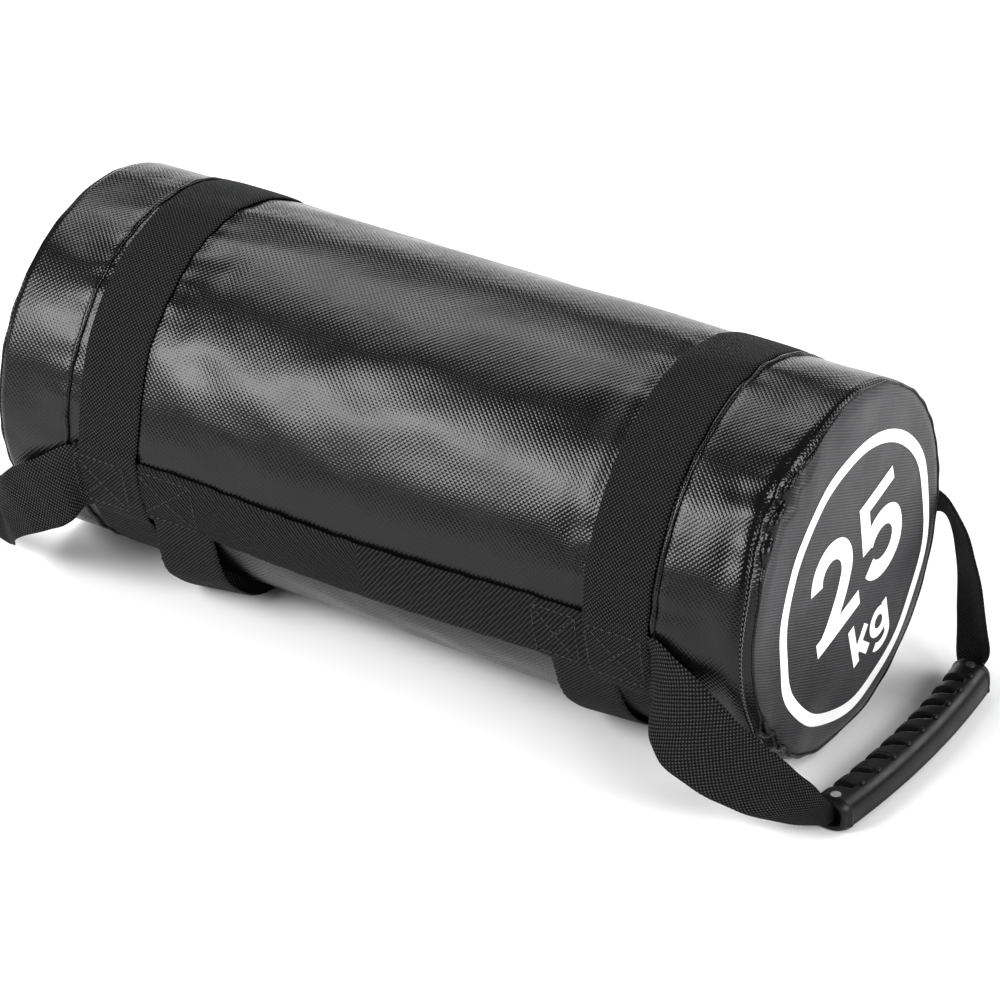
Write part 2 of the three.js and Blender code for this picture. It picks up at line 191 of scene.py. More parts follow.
def bump(centre, half, soft, value):
    """1 within half of centre, falling to 0 over soft on each side."""
    return 1 - smoothstep(half, half + soft, np.abs(value - centre))


def curve(points, count):
    """Evenly numbered points on a smooth curve through the given ones."""
    p = np.array(points, float)
    p = np.concatenate([[2 * p[0] - p[1]], p, [2 * p[-1] - p[-2]]])
    t = np.linspace(0, len(points) - 1, count)
    i = np.minimum(t.astype(int), len(points) - 2)
    f = (t - i)[:, None]
    a, b, c, d = p[i], p[i + 1], p[i + 2], p[i + 3]
    return 0.5 * (2 * b + (c - a) * f + (2 * a - 5 * b + 4 * c - d) * f**2 + (3 * b - a - 3 * c + d) * f**3)


def round_steps(step_degrees):
    return np.radians(np.arange(0, 360, step_degrees))


def ride_on(piece, body, slot, *nodes):
    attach(piece, body)
    if nodes:
        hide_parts(*nodes)
    return piece


# --- The barrel's shape -----------------------------------------------------------------------------

def ripples(seed, count, around, along):
    """Random waves: whole waves round the barrel, waves per metre along it, a phase and a weight each."""
    rng = np.random.default_rng(seed)
    return [
        (int(rng.integers(*around)), rng.uniform(*along), rng.uniform(0, 2 * math.pi), rng.uniform(0.5, 1))
        for _ in range(count)
    ]


def ripple_at(waves, x, angle):
    total = sum(w * np.sin(n * angle + 2 * math.pi * k * x + phase) for n, k, phase, w in waves)
    return total / math.sqrt(len(waves))


SWELLS = ripples(11, 9, (2, 9), (-7, 7))
CREASES = ripples(5, 10, (9, 22), (-16, 16))
ZIP_PUCKERS = ripples(21, 6, (22, 46), (-9, 9))
LABEL_PUCKERS = ripples(8, 6, (20, 44), (-9, 9))
SEAM_TUCKS = ripples(31, 7, (14, 40), (-14, 14))
SLOW = ripples(17, 5, (1, 6), (-4, 4))
CRUMPLES = ripples(71, 8, (7, 22), (-16, 16))

# Soft dents in the tarpaulin: place along the bag, height angle on the front, half sizes, depth.
DENTS = [
    (-0.140, 52, 0.010, 0.020, 1.3),
    (-0.128, 66, 0.008, 0.012, 0.9),
    (-0.120, 34, 0.014, 0.010, 1.0),
    (-0.095, 22, 0.030, 0.010, 0.8),
    (-0.020, 40, 0.020, 0.012, 0.5),
    (0.060, 28, 0.040, 0.010, 0.6),
    (0.138, 22, 0.008, 0.012, 1.3),
    (0.132, 60, 0.012, 0.018, 0.8),
    (-0.225, 62, 0.016, 0.022, 1.2),
    (-0.228, 12, 0.014, 0.020, 1.4),
    (-0.222, 96, 0.012, 0.016, 1.0),
    (0.222, 8, 0.012, 0.020, 1.3),
    (0.232, 28, 0.008, 0.016, 1.5),
    (0.226, 47, 0.007, 0.007, 1.1),
    (0.230, -20, 0.010, 0.030, 1.6),
    (0.226, 84, 0.012, 0.020, 1.0),
]


def near(x, edge, reach):
    return np.exp(-np.abs(x - edge) / reach)


def height_of(angle):
    """Height angle on the front, from -pi to pi."""
    return np.angle(np.exp(1j * (math.pi - angle)))


def bunching(end, angle):
    """How gathered the cloth is at a cap's seam, from 0 to 1: only the label end's is, in two places."""
    height = height_of(angle)
    if end < 0:
        return 0 * height
    return np.maximum(bump(0.80, 0.20, 0.26, height), 0.8 * bump(-0.80, 0.16, 0.30, height))


def seam_place(end, angle):
    """Distance of a cap's seam from the bag's middle: the gathers pull the label end's in."""
    if end < 0:
        return SEAM_X + 0 * angle
    return SEAM_X - 3.5 * MM * bump(0.78, 0.08, 0.40, height_of(angle))


def seam_turn(end, angle):
    """How far a sleeve turns over on to the cap before the seam: most on the label end's front."""
    if end < 0:
        return 2.6 * MM + 0 * angle
    return (1.8 + 6.4 * bump(0.10, 0.75, 0.75, height_of(angle))) * MM


def skin_radius(x, angle):
    """Radius of the tarpaulin's outer face before the floor flattens it."""
    radius = RADIUS + 0.75 * MM * ripple_at(SWELLS, x, angle)
    crease = ripple_at(CREASES, x, angle)
    radius += 0.42 * MM * crease * (0.35 + 0.65 * np.sin(2 * angle + 9 * x) ** 2)
    strength = 0.55 + 0.45 * ripple_at(SLOW, x, angle)
    zip_edges = near(x, ZIP_BAND + WIDTH / 2, 11 * MM) + near(x, ZIP_WELT, 10 * MM)
    label_edges = near(x, LABEL_BAND - WIDTH / 2, 9 * MM) + near(x, LABEL_WELT, 10 * MM)
    radius += 0.85 * MM * strength * zip_edges * ripple_at(ZIP_PUCKERS, x, angle)
    radius += 0.70 * MM * strength * label_edges * ripple_at(LABEL_PUCKERS, x, angle)
    seam = np.where(x > 0, seam_place(1, angle), seam_place(-1, angle))
    turned = np.where(x > 0, seam_turn(1, angle), seam_turn(-1, angle))
    bunched = np.where(x > 0, bunching(1, angle), 0)
    ends = np.exp(-np.maximum(seam - np.abs(x), 0) / (9 * MM))
    radius += MM * ends * (0.40 * strength + 1.9 * bunched) * ripple_at(SEAM_TUCKS, x, angle)
    for edge in (ZIP_BAND, LABEL_BAND):
        radius -= 0.7 * MM * bump(edge, WIDTH / 2, 9 * MM, x)
    radius -= 0.4 * MM * smoothstep(0.222, 0.250, np.abs(x)) ** 1.5
    radius += 1.5 * MM * smoothstep(0.215, 0.245, x) * smoothstep(1.8, 2.5, np.abs(height_of(angle)))
    radius -= turned * np.clip((np.abs(x) - seam) / (2.4 * MM + 1.1 * turned) + 1, 0, 1) ** 2.3
    for place, height, half_x, half_arc, depth in DENTS:
        arc = (angle - (math.pi - math.radians(height))) * RADIUS
        radius -= depth * MM * np.exp(-((x - place) / half_x) ** 2 - (arc / half_arc) ** 2)
    return radius


def rest(radius, angle, floor):
    """The radius, drawn in softly where the ring would pass below the given height."""
    down = np.maximum(-np.sin(angle), 1e-3)
    limit = (AXIS - floor) / down
    return 0.5 * (radius + limit - np.sqrt((radius - limit) ** 2 + (1.6 * MM) ** 2))


def at(x, angle, radius):
    x, angle, radius = np.broadcast_arrays(x, angle, radius)
    return np.stack([x, radius * np.cos(angle), AXIS + radius * np.sin(angle)], -1)


def on_skin(x, angle, proud, floor):
    """Points a given height proud of the tarpaulin, none lower than floor."""
    return at(x, angle, rest(skin_radius(x, angle) + proud, angle, floor))


def front_height(height):
    """Angle round the barrel of a height angle on the front, both in radians."""
    return math.pi - height


# --- Materials --------------------------------------------------------------------------------------

class Shader:
    """A material under construction, with short calls for the nodes that the weaves are made of."""

    def __init__(self, name, roughness=0.5, specular=0.5, metallic=0.0):
        self.material = bpy.data.materials.new(name)
        self.material.use_nodes = True
        self.tree = self.material.node_tree
        self.principled = self.tree.nodes["Principled BSDF"]
        self.principled.inputs["Roughness"].default_value = roughness
        self.principled.inputs["Specular IOR Level"].default_value = specular
        self.principled.inputs["Metallic"].default_value = metallic

    def node(self, kind, **settings):
        made = self.tree.nodes.new("ShaderNode" + kind)
        for key, value in settings.items():
            setattr(made, key, value)
        return made

    def join(self, source, target):
        self.tree.links.new(source, target)

    def maths(self, operation, first, second=None, third=None):
        made = self.node("Math", operation=operation)
        for slot, value in enumerate((first, second, third)):
            if value is None:
                continue
            if isinstance(value, (int, float)):
                made.inputs[slot].default_value = value
            else:
                self.join(value, made.inputs[slot])
        return made.outputs[0]

    def cloth(self):
        """Lengths along and across the cloth, in metres."""
        split = self.node("SeparateXYZ")
        self.join(self.node("UVMap", uv_map="cloth").outputs["UV"], split.inputs[0])
        return split.outputs["X"], split.outputs["Y"]

    def place(self):
        """Lengths along and up the object, for CAD nodes, which have no UV map."""
        split = self.node("SeparateXYZ")
        self.join(self.node("TexCoord").outputs["Object"], split.inputs[0])
        level = self.maths("ADD", split.outputs["Y"], split.outputs["Z"])
        return self.maths("ADD", split.outputs["X"], split.outputs["Y"]), level

    def wave(self, length, pitch, phase=0.0):
        turned = self.maths("MULTIPLY_ADD", length, 2 * math.pi / pitch, phase)
        return self.maths("SINE", turned)

    def noise(self, scale, detail=3.0, roughness=0.55, stretch=None):
        made = self.node("TexNoise")
        made.inputs["Scale"].default_value = scale
        made.inputs["Detail"].default_value = detail
        made.inputs["Roughness"].default_value = roughness
        source = self.node("TexCoord").outputs["Object"]
        if stretch:
            mapping = self.node("Mapping")
            mapping.inputs["Scale"].default_value = stretch
            self.join(source, mapping.inputs["Vector"])
            source = mapping.outputs["Vector"]
        self.join(source, made.inputs["Vector"])
        return made.outputs["Fac"]

    def spread(self, value, low, high, out_low, out_high):
        made = self.node("MapRange")
        ranges = {"From Min": low, "From Max": high, "To Min": out_low, "To Max": out_high}
        for key, number in ranges.items():
            made.inputs[key].default_value = number
        self.join(value, made.inputs["Value"])
        return made.outputs["Result"]

    def ramp(self, value, *stops):
        made = self.node("ValToRGB")
        elements = made.color_ramp.elements
        while len(elements) < len(stops):
            elements.new(0.5)
        for element, (position, colour) in zip(elements, stops):
            element.position = position
            element.color = (*colour, 1)
        self.join(value, made.inputs["Fac"])
        return made.outputs["Color"]

    def set(self, socket, value):
        self.join(value, self.principled.inputs[socket])

    def bump(self, *layers):
        """Bumps from (height, depth in metres) pairs, the coarse ones first."""
        normal = None
        for height, depth in layers:
            made = self.node("Bump")
            made.inputs["Distance"].default_value = depth
            self.join(height, made.inputs["Height"])
            if normal:
                self.join(normal, made.inputs["Normal"])
            normal = made.outputs["Normal"]
        self.set("Normal", normal)


def grey(level, tint=1.0):
    return (level, level, level * tint)


NET_PITCH = 6.2 * MM
RIB_FALL = math.radians(23)


def tarpaulin():
    """Black PVC, calendered over a net, which leaves diamonds of small dots."""
    s = Shader("tarpaulin", roughness=0.24, specular=0.38)
    u, v = s.cloth()
    rising, falling = (s.wave(s.maths(operation, u, v), NET_PITCH) for operation in ("ADD", "SUBTRACT"))
    raised = s.maths("ABSOLUTE", s.maths("MULTIPLY", rising, falling))
    scuffs = s.noise(26, 5, 0.6)
    s.set("Base Color", s.ramp(s.noise(9, 4), (0.35, grey(0.0035, 1.1)), (0.7, grey(0.0065, 1.08))))
    s.set("Roughness", s.spread(scuffs, 0.35, 0.7, 0.17, 0.27))
    s.bump((s.noise(60, 3, 0.5), 0.35 * MM), (raised, 0.13 * MM))
    return s.material


def cap_tarpaulin():
    """The cap's cloth, with fine ribs that fall towards the back. It is coloured a lighter grey than the
    sleeves' black PVC as painted light on the cap's face, with painted highlight lines along the ribs.
    """
    s = Shader("cap_tarpaulin", roughness=0.42, specular=0.45)
    u, v = s.cloth()
    slope = s.maths("MULTIPLY", u, math.tan(RIB_FALL))
    ribs = s.wave(s.maths("ADD", v, slope), 1.7 * MM / math.cos(RIB_FALL))
    cross = s.wave(u, 2.6 * MM)
    weave = s.maths("MULTIPLY_ADD", cross, 0.10, ribs)
    # Painted highlight lines along the ribs, with random mottle
    tone = s.maths("MULTIPLY_ADD", weave, 0.14, s.noise(14, 4, 0.6))
    # Lighter grey than the sleeves' tarpaulin: painted light on the cap's face
    s.set("Base Color", s.ramp(tone, (0.3, grey(0.022, 1.06)), (0.72, grey(0.066, 1.05))))
    s.set("Roughness", s.spread(s.noise(30, 4), 0.3, 0.7, 0.34, 0.48))
    s.bump((s.noise(34, 3, 0.5), 0.6 * MM), (weave, 0.075 * MM))
    return s.material


def print_white():
    s = Shader("print_white", roughness=0.45)
    _, v = s.cloth()
    s.set("Base Color", s.ramp(s.noise(60, 5, 0.65), (0.25, grey(0.80)), (0.5, grey(0.88))))
    s.set("Roughness", s.spread(s.noise(90, 3), 0.3, 0.7, 0.4, 0.55))
    s.bump((s.wave(v, 1.8 * MM), 0.02 * MM))
    return s.material


def woven(name, pitch, depth, dark, light, twill=0.0, roughness=0.72):
    """Plain-weave polyester webbing: rows of small yarn crowns, with ribs if twill. Its colour is a painted
    sheen, lighter on the crowns and ribs, with painted shade darker between them, plus a random fuzz tone.
    """
    s = Shader(name, roughness=roughness, specular=0.16)
    u, v = s.cloth()
    crowns = s.maths("MULTIPLY", s.wave(u, pitch), s.wave(v, pitch))
    if twill:
        slant = s.maths("ADD", u, s.maths("MULTIPLY", v, 0.8))
        ribs = s.wave(slant, pitch * 1.3)
        crowns = s.maths("MULTIPLY_ADD", ribs, twill, s.maths("MULTIPLY", crowns, 1 - twill))
    fuzz = s.noise(900, 2, 0.6)
    # Painted sheen and shade: colour lighter on the yarn crowns and darker between them, plus random fuzz
    tone = s.maths("MULTIPLY_ADD", fuzz, 0.5, s.maths("MULTIPLY", crowns, 0.6))
    s.set("Base Color", s.ramp(tone, (0.22, grey(dark, 1.05)), (0.78, grey(light, 1.06))))
    s.set("Roughness", s.spread(fuzz, 0.3, 0.7, roughness - 0.2, roughness + 0.05))
    s.bump((s.noise(45, 3), 0.35 * MM), (crowns, depth), (fuzz, 0.06 * MM))
    return s.material


def rubber():
    s = Shader("grip_rubber", roughness=0.40, specular=0.36)
    s.set("Base Color", s.ramp(s.noise(40, 4), (0.3, grey(0.004, 1.05)), (0.7, grey(0.008, 1.05))))
    s.set("Roughness", s.spread(s.noise(70, 5, 0.6), 0.3, 0.7, 0.3, 0.46))
    s.bump((s.noise(500, 3, 0.6), 0.05 * MM))
    return s.material


def steel():
    s = Shader("steel", roughness=0.3, metallic=1.0)
    s.set("Base Color", s.ramp(s.noise(120, 4), (0.3, grey(0.42)), (0.7, grey(0.62))))
    s.set("Roughness", s.spread(s.noise(300, 4, 0.7, (1, 8, 1)), 0.3, 0.7, 0.22, 0.42))
    s.bump((s.noise(700, 3, 0.6, (1, 10, 1)), 0.02 * MM))
    return s.material


def thread():
    s = Shader("thread", roughness=0.6, specular=0.4)
    s.set("Base Color", s.ramp(s.noise(700, 2), (0.3, grey(0.030)), (0.7, grey(0.060))))
    s.set("Roughness", s.spread(s.noise(500, 2), 0.3, 0.7, 0.5, 0.7))
    s.bump((s.noise(1500, 2), 0.05 * MM))
    return s.material


def carried(name, dark, light, roughness, scale, depth, pitch=0.0):
    """A material for a carried-over CAD node: mottled colour, and a weave if pitch is given."""
    s = Shader(name, roughness=roughness)
    s.set("Base Color", s.ramp(s.noise(scale, 5, 0.6), (0.3, dark), (0.7, light)))
    s.set("Roughness", s.spread(s.noise(scale * 2, 3), 0.3, 0.7, roughness - 0.08, roughness + 0.08))
    layers = [(s.noise(scale * 3, 4, 0.65), depth)]
    if pitch:
        u, v = s.place()
        layers.append((s.maths("MULTIPLY", s.wave(u, pitch), s.wave(v, pitch)), 0.1 * MM))
    s.bump(*layers)
    return s.material


TARP = tarpaulin()
CAP_TARP = cap_tarpaulin()
PRINT = print_white()
# Webbing colours: the dark one is painted shade between the yarn crowns, the light one painted sheen on
# them
BAND_WEB = woven("band_webbing", 2.5 * MM, 0.42 * MM, 0.001, 0.060)
STRAP_WEB = woven("strap_webbing", 2.2 * MM, 0.32 * MM, 0.001, 0.044, twill=0.6)
HANDLE_WEB = woven("handle_webbing", 2.5 * MM, 0.50 * MM, 0.001, 0.070)
RUBBER = rubber()
STEEL = steel()
THREAD = thread()


# --- Barrel -----------------------------------------------------------------------------------------

ROW_PITCH = 2.2 * MM
# Closer rows of points near a sleeve's ends, as distances from them
FINE_ROWS = np.array([7.0, 5.6, 4.4, 3.3, 2.3, 1.5, 0.9, 0.4]) * MM
# From here outwards the rows lean with the seam
LEAN_FROM = 0.212


def sleeve(name, x0, x1, node):
    """A sleeve of tarpaulin. Its rows bend with the cap's seam, and its rims turn in."""
    rows = int(round((x1 - x0) / ROW_PITCH)) + 1
    x = np.unique(np.concatenate([np.linspace(x0, x1, rows), x0 + FINE_ROWS, x1 - FINE_ROWS]))[:, None]
    angle = round_steps(1.25)[None, :]
    xs = x + (seam_place(1, angle) - SEAM_X) * smoothstep(LEAN_FROM, SEAM_X, x)
    rims = [
        on_skin(xs[[row]] + inward, angle, -ROLL_IN, SKIN_FLOOR + ROLL_IN)
        for row, inward in ((0, 1.0 * MM), (-1, -1.0 * MM))
    ]
    surface = np.concatenate([rims[0], on_skin(xs, angle, 0, SKIN_FLOOR), rims[1]], 0)
    along = np.concatenate([[x0 - ROLL_IN], x[:, 0], [x1 + ROLL_IN]])
    around = np.append(angle[0], 2 * math.pi) * RADIUS
    cloth = np.stack(np.meshgrid(along, around, indexing="ij"), -1)
    piece = grid(name, surface, cloth, TARP, wrap_columns=True)
    ride_on(piece, "bag", "tarpaulin", node)


def build_sleeves():
    sleeve("zip_end_tarpaulin", -SEAM_X, ZIP_WELT, "zip_end_sleeve")
    sleeve("centre_tarpaulin", ZIP_WELT, LABEL_WELT, "centre_sleeve")
    sleeve("label_end_tarpaulin", LABEL_WELT, SEAM_X, "label_end_sleeve")


def welt(name, x, node):
    """The folded seam between two sleeves, which stands up and leans a little each way."""
    angle = round_steps(1.5)[:, None]
    turn = np.linspace(0, math.pi, 9)[None, :]
    lean = 0.5 * MM * np.sin(5 * angle + 1.3) + 0.3 * MM * np.sin(13 * angle)
    wide = 1.5 * MM * (1 + 0.12 * np.sin(29 * angle) + 0.1 * np.sin(43 * angle + 1))
    high = 1.9 * MM * (1 + 0.10 * np.sin(17 * angle) + 0.1 * np.sin(37 * angle + 2))
    xs = x + lean * np.sin(turn) - wide * np.cos(turn)
    surface = on_skin(xs, angle, high * np.sin(turn) ** 0.7 - 0.2 * MM, 0.4 * MM)
    around = np.append(angle[:, 0], 2 * math.pi) * RADIUS
    cloth = np.stack(np.meshgrid(around, turn[0] * 1.5 * MM, indexing="ij"), -1)
    piece = grid(name, surface, cloth, TARP, wrap_rows=True, flip=True)
    ride_on(piece, "bag", "tarpaulin", node)


def cap_reach(end, angle):
    """Radius of a cap's rim, which follows the end of its sleeve."""
    return rest(skin_radius(end * seam_place(end, angle), angle) - 0.2 * MM, angle, SKIN_FLOOR + 0.4 * MM)


CAP_FOLDS = ripples(41, 7, (2, 11), (-9, 9))


def cap_face(end, y, z):
    """Distance of a cap's face from the bag's middle: a crown with soft folds and a round shoulder."""
    angle = np.arctan2(z - AXIS, y)
    share = np.hypot(y, z - AXIS) / cap_reach(end, angle)
    fold = 1.1 * MM * ripple_at(CAP_FOLDS, end * share * 0.1, angle) * smoothstep(0.4, 0.95, share)
    dimple = 0.3 * MM * np.sin(70 * y + 1) * np.sin(60 * z)
    crumple = 0.9 * MM * bunching(end, angle) * ripple_at(CRUMPLES, share * 0.1, angle)
    face = CAP_FACE + CAP_CROWN * (1 - share**2) + fold + dimple * share
    shoulder = np.clip((share - CAP_SHOULDER) / (1 - CAP_SHOULDER), 0, 1) ** 2.3
    edge = smoothstep(CAP_SHOULDER, 0.97, share) * (1 - smoothstep(0.97, 1, share))
    return face + (seam_place(end, angle) - face) * shoulder + crumple * edge


def label_cap():
    angle = round_steps(1.25)[None, :]
    share = np.sin(np.linspace(0.001, 1, 72) * math.pi / 2)[:, None]
    radius = cap_reach(1, angle) * share
    y = radius * np.cos(angle)
    z = AXIS + radius * np.sin(angle)
    surface = np.stack([cap_face(1, y, z), y, z], -1)
    closed = np.concatenate([surface[..., 1:], surface[:, :1, 1:]], 1)
    piece = grid("label_cap", surface, closed, CAP_TARP, wrap_columns=True, flip=True)
    ride_on(piece, "bag", "cap_tarpaulin", "label_end_cap")


def zip_cap(name, side, node):
    """Half of the zipped cap, whose cloth folds under along the zip."""
    y = (np.sin(np.linspace(-1, 1, 121) * math.pi / 2) * ZIP_CAP_HALF)[None, :]
    rim = np.sqrt(RADIUS**2 - y**2)
    for _ in range(6):
        reach = cap_reach(-1, np.arctan2(side * rim, y))
        rim = np.sqrt(np.maximum(reach**2 - y**2, (1 * MM) ** 2))
    share = np.sin(np.linspace(0, 1, 52) * math.pi / 2)[:, None]
    edge = np.minimum(ZIP_SLIT, rim)
    height = edge + (rim - edge) * share
    z = AXIS + side * height
    hem = 1.0 * MM * bump(ZIP_SLIT + 4 * MM, 3.5 * MM, 1.5 * MM, height)
    fold_under = 1.6 * MM * (1 - smoothstep(0, 2.0 * MM, height - edge))
    x = -(cap_face(-1, y, z) + hem * (1 - smoothstep(0.096, 0.103, np.abs(y))) - fold_under)
    surface = np.stack(np.broadcast_arrays(x, y, z), -1)
    piece = grid(name, surface, surface[..., 1:], CAP_TARP, flip=side < 0)
    ride_on(piece, "bag", "cap_tarpaulin", node)


def cap_seam(name, end, node):
    """The seam round a cap: a thin roll in a groove, bunched up where the cloth is gathered."""
    angle = round_steps(0.75)[:, None]
    turn = np.linspace(-0.5 * math.pi, 1.3 * math.pi, 17)[None, :]
    tuck = ripple_at(SEAM_TUCKS, end * SEAM_X, angle)
    bunched = bunching(end, angle)
    crumple = ripple_at(CRUMPLES, turn * 0.018, angle)
    thick = MM * (0.85 + 0.12 * tuck + bunched * (1.7 + 1.3 * crumple))
    place = seam_place(end, angle)
    centre = skin_radius(end * place, angle) + MM * (0.1 + 0.1 * tuck + 0.4 * bunched)
    radius = centre + thick * np.cos(turn)
    x = end * (place + MM * bunched * 0.9 * tuck + 1.1 * thick * np.sin(turn))
    surface = at(x, angle, rest(radius, angle, 2.4 * MM - thick * np.cos(turn) * 0.5))
    around = np.append(angle[:, 0], 2 * math.pi) * RADIUS
    cloth = np.stack(np.meshgrid(around, turn[0] * 2 * MM, indexing="ij"), -1)
    piece = grid(name, surface, cloth, TARP, wrap_rows=True, flip=end > 0)
    ride_on(piece, "bag", "tarpaulin", node)


# --- Printed mark -----------------------------------------------------------------------------------

MARK_CENTRE = (0.0085, 0.100)
MARK_TURN = math.radians(15)


def printed(name, path, wide, closed=False):
    """A painted stroke on the cap, along a path given in millimetres about the mark's centre."""
    path = np.array(path, float) * MM
    if closed:
        tangent = unit(np.roll(path, -1, 0) - np.roll(path, 1, 0))
    else:
        tangent = unit(np.gradient(path, axis=0))
    side = np.stack([-tangent[:, 1], tangent[:, 0]], -1)
    wide = np.broadcast_to(np.asarray(wide, float) * MM, len(path))
    share = np.linspace(-0.5, 0.5, 7)
    flat = path[:, None] + side[:, None] * (share[None, :] * wide[:, None])[..., None]
    c, s = math.cos(MARK_TURN), math.sin(MARK_TURN)
    y = MARK_CENTRE[0] + flat[..., 0] * c - flat[..., 1] * s
    z = MARK_CENTRE[1] + flat[..., 0] * s + flat[..., 1] * c
    surface = np.stack([cap_face(1, y, z) + 0.22 * MM, y, z], -1)
    cloth = surface[..., 1:]
    if closed:
        cloth = np.concatenate([cloth, cloth[:1]])
    piece = grid(name, surface, cloth, PRINT, wrap_rows=closed, flip=True)
    ride_on(piece, "bag", "cap_tarpaulin")


def arc(cx, cy, rx, ry, start, end, count=24):
    """Points on an ellipse's arc, in millimetres, from one angle to another in degrees."""
    a = np.radians(np.linspace(start, end, count))
    return np.stack([cx + rx * np.cos(a), cy + ry * np.sin(a)], -1)


def line(start, end, count=14):
    t = np.linspace(0, 1, count)[:, None]
    return np.array(start) * (1 - t) + np.array(end) * t


def print_mark():
    printed("print_ring", arc(0.6, 0, 82.4, 82.4, 0, 357, 120), 7.6, closed=True)
    hook = arc(-24.7, 24.4, 16.6, 16.6, 172, -32, 30)
    sweep = curve([hook[-1], (-18.7, 4.9), (-31.2, -6.6), (-39.2, -12.1)], 20)
    printed("print_two_curve", np.concatenate([hook, sweep[1:]]), 12.4)
    printed("print_two_base", line((-48.7, -12.4), (-0.6, -12.4)), 10.6)
    printed("print_five_bar", line((10.2, 39.0), (50, 39.0)), 9.2)
    printed("print_five_stem", line((15.7, 43.4), (13.1, 9.8)), 10.6)
    printed("print_five_bowl", arc(29.4, 3.4, 17.8, 15.8, 148, -158, 40), 12.2)
    printed("print_k_stem", line((-12.6, -27.6), (-11, -57.0)), 6.6)
    printed("print_k_arm", line((-10.5, -49.6), (3.6, -37.8), 10), 6.0)
    printed("print_k_leg", line((-6.0, -46.0), (2.6, -57.0), 8), 6.6)
    printed("print_g_bowl", arc(16.3, -47.6, 7.2, 7.2, 0, 357, 36), 5.8, closed=True)
    stem = line((24.4, -37.8), (24.4, -59), 12)
    tail = arc(16.4, -59.4, 8.0, 6.0, 0, -150, 16)
    printed("print_g_tail", np.concatenate([stem, tail[1:]]), 5.8)


# --- Webbing on the barrel --------------------------------------------------------------------------

def strap_lift(angle):
    """How far a band rises to pass over the strap beneath it on each side."""
    lift = 0
    for centre in (-STRAP_TILT, math.pi + STRAP_TILT):
        gap = np.angle(np.exp(1j * (angle - centre)))
        lift = lift + 2.0 * MM * bump(0, STRAP_HALF, 0.07, gap)
    return lift


def band(name, x, drift, low_at, reach, seed, node):
    """A hoop of webbing round the barrel, pulled along by drift round one height angle on the front."""
    angle = round_steps(1.25)[:, None]
    share = np.linspace(-1, 1, 23)[None, :]
    gap = np.angle(np.exp(1j * (angle - front_height(math.radians(low_at)))))
    slip = drift * bump(0, 0, math.radians(reach), gap)
    wander = 0.5 * MM * ripple_at(ripples(seed, 4, (3, 12), (0, 1)), 0, angle)
    edge = 0.22 * MM * ripple_at(ripples(seed + 1, 4, (20, 60), (0, 1)), 0, angle)
    xs = x + slip + wander + share * (WIDTH / 2 + edge * share)
    proud = THICK / 2 + CLOTH_GAP + strap_lift(angle) - 0.35 * MM * np.abs(share) ** 3
    middle = skin_radius(np.full_like(xs, x), angle)
    own = skin_radius(xs, angle)
    radius = np.maximum(0.5 * middle + 0.5 * own, own) + proud
    surface = at(xs, angle, rest(radius, angle, THICK / 2))
    piece = webbing(name, surface, BAND_WEB, wrap_rows=True)
    ride_on(piece, "bag", "webbing", node)


def strap_surface(x, heights, side, lift):
    """The middle surface of a side strap, at stations x and height angles below the horizontal."""
    angle = math.pi - heights if side < 0 else heights
    radius = RADIUS + CLOTH_GAP + THICK / 2 + 0.3 * (skin_radius(x, angle) - RADIUS) + lift
    return at(x, angle, radius)


def strap_half(name, side, x_sewn, nodes):
    """Half of a side strap, from its sewn end to the middle of the span that lifts off as a handle."""
    x = np.linspace(x_sewn, SPAN_MIDDLE, 90)[:, None]
    share = np.linspace(-1, 1, 21)[None, :]
    bow = np.sin(np.pi * np.clip((x - SPAN_START) / (SPAN_END - SPAN_START), 0, 1))
    wave = 0.25 * MM * np.sin(x * 260) + 0.2 * MM * np.sin(x * 410 + 1)
    heights = -STRAP_TILT + share * STRAP_HALF - (4 * MM * bow + wave) / RADIUS
    surface = strap_surface(x, heights, side, 0.7 * MM * bow)
    outward = 1 if (side < 0) == (x_sewn > SPAN_MIDDLE) else -1
    piece = webbing(name, surface, STRAP_WEB, side=outward)
    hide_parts(*nodes)
    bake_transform(piece)


def build_side_straps():
    for place, side in SIDES:
        for half, sewn in (("zip", ZIP_SEWN), ("label", LABEL_SEWN)):
            nodes = [f"{place}_strap_{half}_anchor", place + "_handle_span"]
            strap_half(f"{place}_strap_{half}_half", side, sewn, nodes)


def cross_strap(name, x, drift, proud, node):
    """Webbing under the bag, from beneath one side strap to the other, slack beside the barrel."""
    heights = np.radians(np.linspace(-20.5, -159.5, 121))[:, None]
    share = np.linspace(-1, 1, 21)[None, :]
    down = np.degrees(-heights)
    slack = proud * (bump(50, 6, 22, down) + bump(130, 6, 22, down))
    edge = 0.25 * MM * np.sin(down * 1.9) + 0.2 * MM * np.sin(down * 3.3)
    xs = x + drift * bump(125, 30, 45, down) + share * (WIDTH / 2 + edge)
    radius = RADIUS + CLOTH_GAP + THICK / 2 + slack * (1 - 0.25 * share)
    surface = at(xs, heights, rest(radius, heights, THICK / 2))
    piece = webbing(name, surface, BAND_WEB)
    ride_on(piece, "bag", "webbing", node)


# --- Stitching --------------------------------------------------------------------------------------

